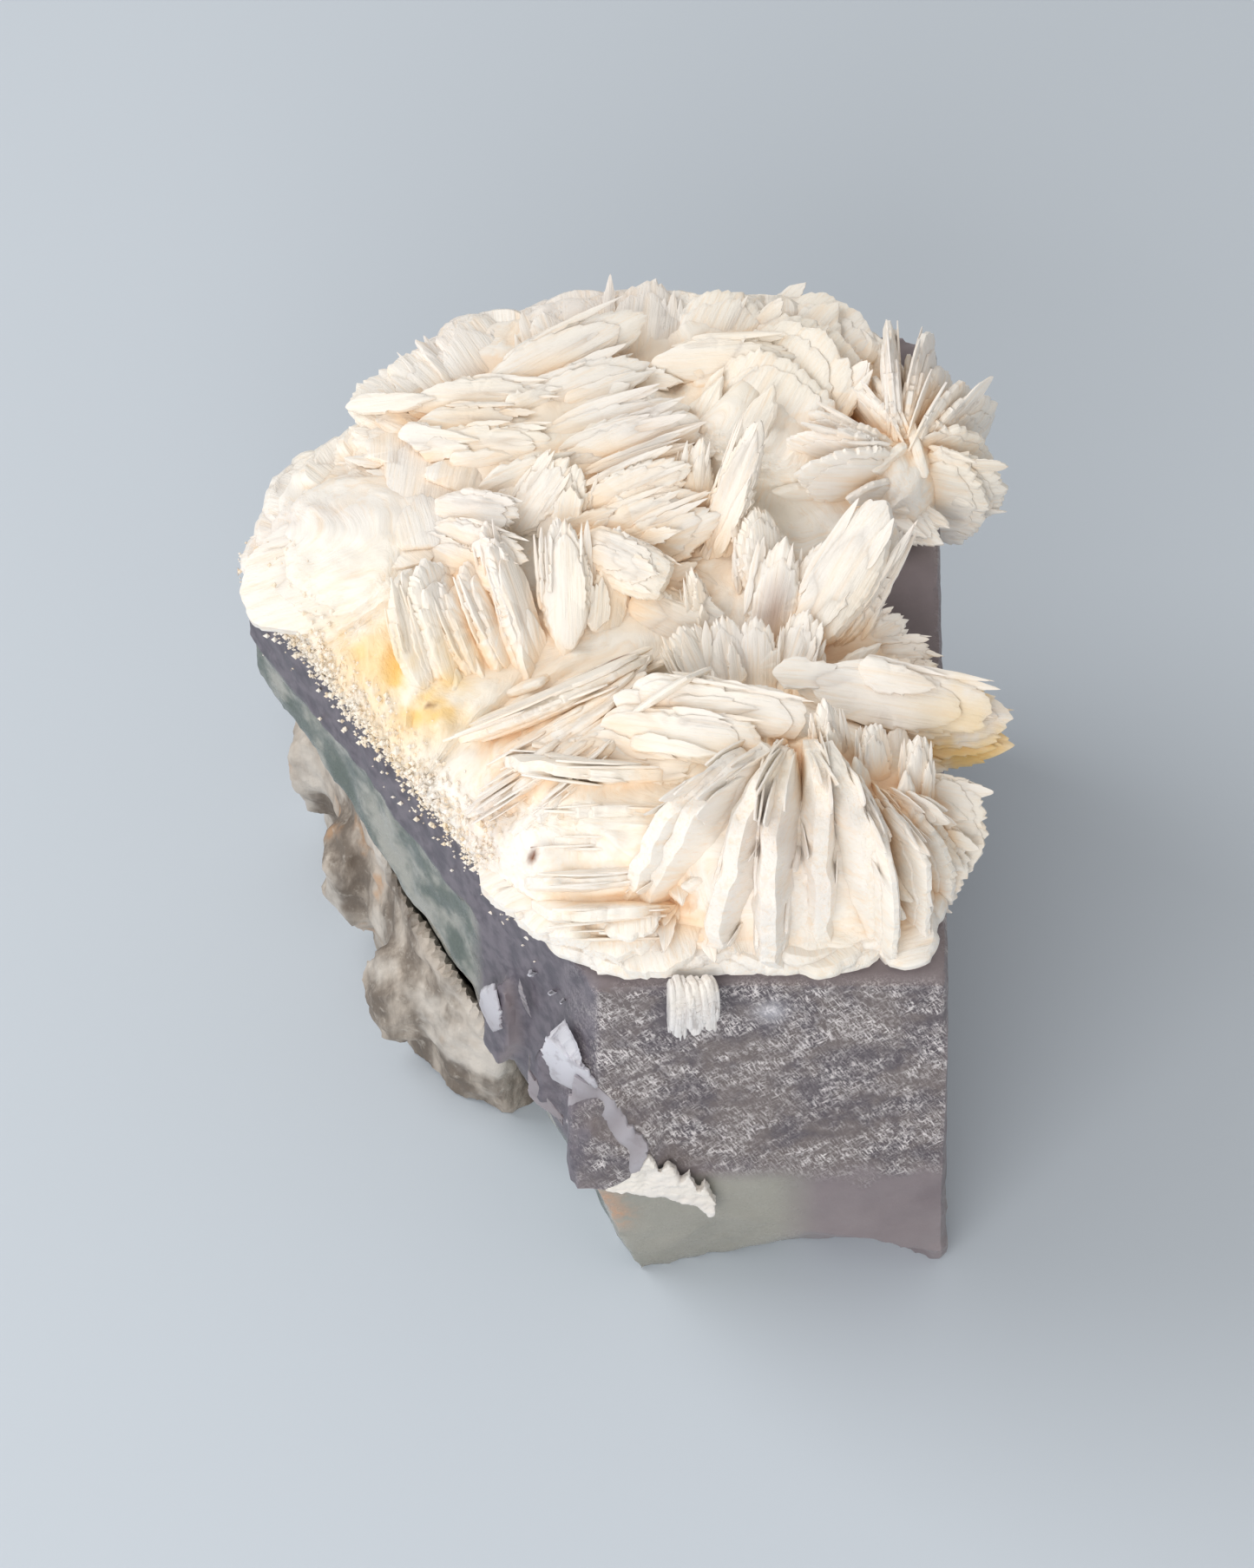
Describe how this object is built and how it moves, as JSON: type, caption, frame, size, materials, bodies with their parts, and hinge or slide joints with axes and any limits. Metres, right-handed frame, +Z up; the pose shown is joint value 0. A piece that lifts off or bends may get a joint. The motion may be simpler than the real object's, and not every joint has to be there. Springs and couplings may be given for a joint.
{
  "type": "barite crystal cluster",
  "caption": "White bladed barite rosettes grown over the top of a grey-purple fluorite crystal on host rock, a loose specimen that rests on its flat underside.",
  "frame": {"origin": "under the middle of the specimen, on the surface it rests on", "axes": "+Z up; the large flat fluorite face looks toward -Y; the sheer right side looks toward +X"},
  "size_m": [0.0519, 0.0542, 0.048],
  "materials": {
    "fluorite": "etched, frosty crystal faces",
    "host_rock": "rough broken rock",
    "barite": "milky pearly blades",
    "barite_clear": "glassy milky blades",
    "barite_seam": "sugary broken edge"
  },
  "bodies": {
    "root": {"fluorite_crystal": "fluorite", "host_rock": "host_rock", "barite_rosettes": "barite", "barite_sprig": "barite_clear", "barite_seam": "barite_seam"}
  },
  "joints": []
}
